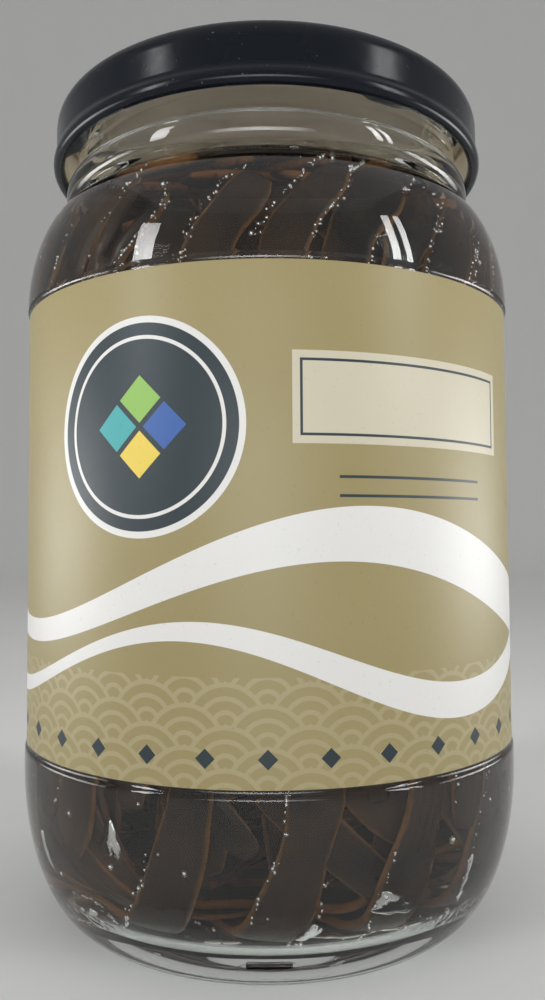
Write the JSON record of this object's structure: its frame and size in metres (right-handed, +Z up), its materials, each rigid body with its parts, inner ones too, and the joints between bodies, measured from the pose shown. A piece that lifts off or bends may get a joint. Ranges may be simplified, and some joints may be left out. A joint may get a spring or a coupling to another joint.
{
  "type": "jar of sea spaghetti",
  "caption": "Round clear glass jar with a black twist-off lid and a paper label, packed with flat brown seaweed straps in brine.",
  "frame": {"origin": "centre of the jar's foot, on the surface it stands on", "axes": "+Z up the jar's axis, -Y through the middle of the label, +X to the right of the label"},
  "size_m": [0.0728, 0.0728, 0.1178],
  "materials": {
    "glass": "gloss",
    "lacquer": "gloss",
    "compound": "satin",
    "label_paper": "satin",
    "brine": "gloss",
    "seaweed": "gloss"
  },
  "bodies": {
    "jar": {"jar": "glass", "label": "label_paper", "brine": "brine", "strap_01": "seaweed", "strap_02": "seaweed", "strap_03": "seaweed", "strap_04": "seaweed", "strap_05": "seaweed", "strap_06": "seaweed", "strap_07": "seaweed", "strap_08": "seaweed", "strap_09": "seaweed", "strap_10": "seaweed", "strap_11": "seaweed", "strap_12": "seaweed", "strap_13": "seaweed", "strap_14": "seaweed", "strap_15": "seaweed", "strap_16": "seaweed", "strap_17": "seaweed", "strap_18": "seaweed", "strap_19": "seaweed", "strap_20": "seaweed", "strap_21": "seaweed", "strap_22": "seaweed", "strap_23": "seaweed", "strap_24": "seaweed", "strap_25": "seaweed", "strap_26": "seaweed", "strap_27": "seaweed"},
    "seal": {"lid_seal": "compound"},
    "lid": {"lid": "lacquer"}
  },
  "joints": [
    {"name": "lid_rise", "type": "slide", "parent": "jar", "child": "seal", "axis": [0, 0, 1], "range_m": [0, 0.0015]},
    {"name": "lid_turn", "type": "hinge", "parent": "seal", "child": "lid", "pos_m": [0, 0, 0.11], "axis": [0, 0, 1], "range_deg": [0, 65]}
  ],
  "couplings": [
    {"joint": "lid_rise", "follows": "lid_turn", "m_per_rad": 0.001322}
  ]
}
